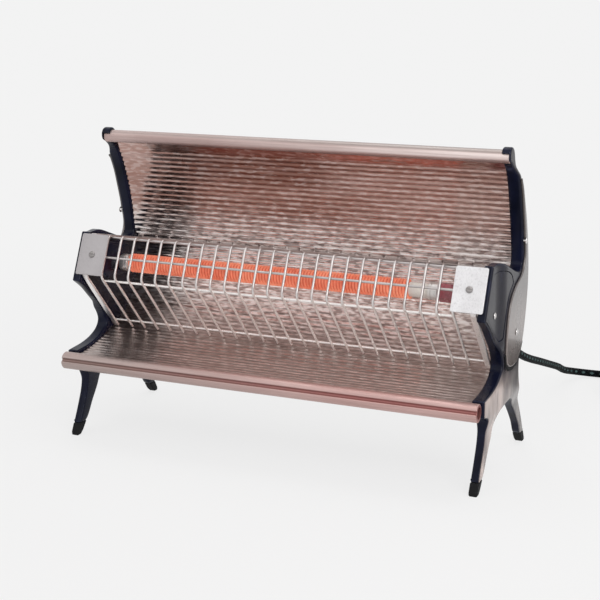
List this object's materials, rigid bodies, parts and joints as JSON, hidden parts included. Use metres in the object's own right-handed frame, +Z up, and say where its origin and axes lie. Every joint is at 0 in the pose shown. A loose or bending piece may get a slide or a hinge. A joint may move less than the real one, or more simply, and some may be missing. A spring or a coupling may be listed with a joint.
{
  "type": "electric bar heater",
  "caption": "Single-bar radiant heater with a curved fluted reflector, wire guard, splayed cast end frames and a braided mains cord.",
  "frame": {"origin": "on the floor, under the middle of the heater itself, cord left out", "axes": "+X to the heater's own left (right in the picture), along the bar; +Y to the back; +Z up; the bar faces -Y"},
  "size_m": [0.5206, 0.3695, 0.274],
  "materials": {
    "enamel": "gloss",
    "cover_enamel": "gloss",
    "reflector_copper": "polished",
    "rail_rose": "satin",
    "guard_chrome": "polished",
    "plate_white": "satin",
    "back_paint": "satin",
    "steel": "satin",
    "screw_chrome": "polished",
    "ceramic": "matt",
    "resistance_wire": "matt",
    "holder_maroon": "glazed",
    "brass": "satin",
    "rubber": "matt",
    "braid": "woven",
    "plug_plastic": "gloss"
  },
  "bodies": {
    "root": {"end_casting_left": "enamel", "end_casting_right": "enamel", "terminal_cover_left": "enamel", "terminal_cover_right": "enamel", "side_cover_left": "cover_enamel", "side_cover_right": "cover_enamel", "reflector": "reflector_copper", "top_rail": "rail_rose", "bottom_rail": "rail_rose", "guard_roof": "guard_chrome", "guard_front": "guard_chrome", "guard_base": "guard_chrome", "guard_plate_left": "plate_white", "guard_plate_right": "plate_white", "back_panel": "back_paint", "guard_screw_left": "steel", "guard_screw_right": "steel", "back_screw_left": "steel", "back_screw_right": "steel", "element_cap_left": "steel", "element_cap_right": "steel", "side_cover_screw_left_lower": "screw_chrome", "side_cover_screw_left_upper": "screw_chrome", "side_cover_screw_right_lower": "screw_chrome", "side_cover_screw_right_upper": "screw_chrome", "terminal_cover_screw_left": "screw_chrome", "terminal_cover_screw_right": "screw_chrome", "element_rod": "ceramic", "terminal_bush_left": "ceramic", "terminal_bush_right": "ceramic", "terminal_block": "ceramic", "element_winding": "resistance_wire", "element_holder": "holder_maroon", "terminal_nut_left": "brass", "terminal_nut_right": "brass", "terminal_stud_left": "brass", "terminal_stud_right": "brass", "plug_pin_live": "brass", "plug_pin_neutral": "brass", "plug_pin_earth": "brass", "foot_cap_front_left": "rubber", "foot_cap_front_right": "rubber", "foot_cap_rear_left": "rubber", "foot_cap_rear_right": "rubber", "cord_grommet": "rubber", "cord_boot": "rubber", "cord_tie": "rubber", "cord": "braid", "cord_end": "braid", "cord_coil": "braid", "lead_left": "braid", "lead_right": "braid", "plug_body": "plug_plastic"}
  },
  "joints": []
}
